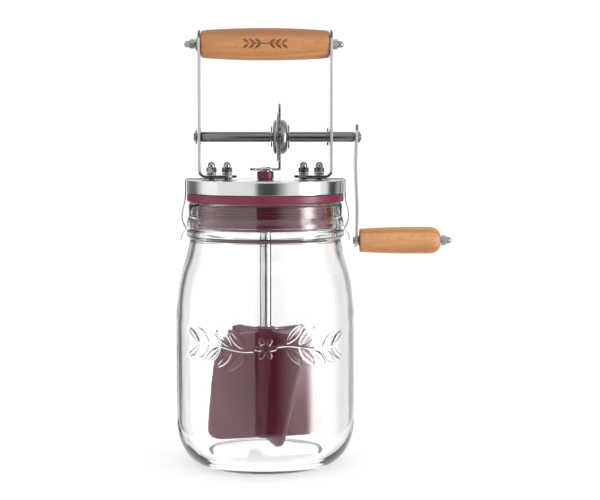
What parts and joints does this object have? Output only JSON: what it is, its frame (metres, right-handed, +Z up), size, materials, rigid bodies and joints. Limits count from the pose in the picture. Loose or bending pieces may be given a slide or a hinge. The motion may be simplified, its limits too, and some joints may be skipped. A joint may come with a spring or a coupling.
{
  "type": "butter churn",
  "caption": "Hand-cranked glass butter churn with a steel geared lid, wooden carry handle and crank knob, and a twisted-blade silicone paddle.",
  "frame": {"origin": "middle of the jar's foot, on the surface that it stands on", "axes": "+Z up along the spindle, +X towards the crank, -Y to the front"},
  "size_m": [0.1667, 0.108, 0.2618],
  "materials": {
    "glass": "clear, fire polished",
    "brushed_cap": "polished, with a fine turned grain",
    "bright_steel": "bright rolled strip",
    "fastener_steel": "polished",
    "dark_steel": "polished, dark",
    "silicone": "satin silicone",
    "beech": "oiled, fine grain"
  },
  "bodies": {
    "jar": {"glass_jar": "glass"},
    "lid": {"lid_cover": "brushed_cap", "lid_seal": "silicone", "spindle_bush": "silicone", "frame_arm_left": "bright_steel", "frame_arm_right": "bright_steel", "clip_leaf_left": "bright_steel", "clip_leaf_right": "bright_steel", "carry_handle": "beech", "handle_rod": "dark_steel", "handle_washer": "fastener_steel", "handle_nut_left": "fastener_steel", "handle_nut_right": "fastener_steel", "shaft_bush_left": "dark_steel", "shaft_bush_right": "dark_steel", "foot_screw_right_outer": "fastener_steel", "foot_screw_right_inner": "fastener_steel", "foot_screw_left_outer": "fastener_steel", "foot_screw_left_inner": "fastener_steel", "foot_washer_right_outer": "fastener_steel", "foot_washer_right_inner": "fastener_steel", "foot_washer_left_outer": "fastener_steel", "foot_washer_left_inner": "fastener_steel", "foot_nut_right_outer": "fastener_steel", "foot_nut_right_inner": "fastener_steel", "foot_nut_left_outer": "fastener_steel", "foot_nut_left_inner": "fastener_steel"},
    "crank": {"crank_shaft": "dark_steel", "shaft_clip_left": "dark_steel", "shaft_clip_right": "dark_steel", "gear_clip_left": "dark_steel", "gear_clip_right": "dark_steel", "drive_gear": "dark_steel", "gear_flange": "bright_steel", "gear_hub_left": "bright_steel", "gear_hub_right": "bright_steel", "crank_arm": "bright_steel", "crank_rivet": "dark_steel", "knob_bolt": "dark_steel", "knob_spacer": "dark_steel", "knob_nut": "fastener_steel"},
    "knob": {"crank_knob": "beech"},
    "spindle": {"pinion_gear": "bright_steel", "spindle_rod": "bright_steel", "spindle_clip": "bright_steel", "paddle": "silicone"},
    "clip_left": {"lid_clip_left": "bright_steel"},
    "clip_right": {"lid_clip_right": "bright_steel"}
  },
  "joints": [
    {"name": "lid_lift", "type": "slide", "parent": "jar", "child": "lid", "axis": [0, 0, 1], "range_m": [0, 0.165]},
    {"name": "crank_turn", "type": "hinge", "parent": "lid", "child": "crank", "pos_m": [0, 0, 0.1964], "axis": [1, 0, 0], "continuous": true},
    {"name": "knob_spin", "type": "hinge", "parent": "crank", "child": "knob", "pos_m": [0.08, 0, 0.1338], "axis": [1, 0, 0], "continuous": true},
    {"name": "spindle_spin", "type": "hinge", "parent": "lid", "child": "spindle", "pos_m": [0, 0, 0.1769], "axis": [0, 0, 1], "continuous": true},
    {"name": "clip_left_flex", "type": "hinge", "parent": "lid", "child": "clip_left", "pos_m": [-0.047, 0, 0.171], "axis": [0, 1, 0], "range_deg": [0, 2.2], "stiffness_Nm_per_rad": 0.05},
    {"name": "clip_right_flex", "type": "hinge", "parent": "lid", "child": "clip_right", "pos_m": [0.047, 0, 0.171], "axis": [0, -1, 0], "range_deg": [0, 2.2], "stiffness_Nm_per_rad": 0.05}
  ],
  "couplings": [
    {"joint": "spindle_spin", "follows": "crank_turn", "ratio": 2.25}
  ]
}
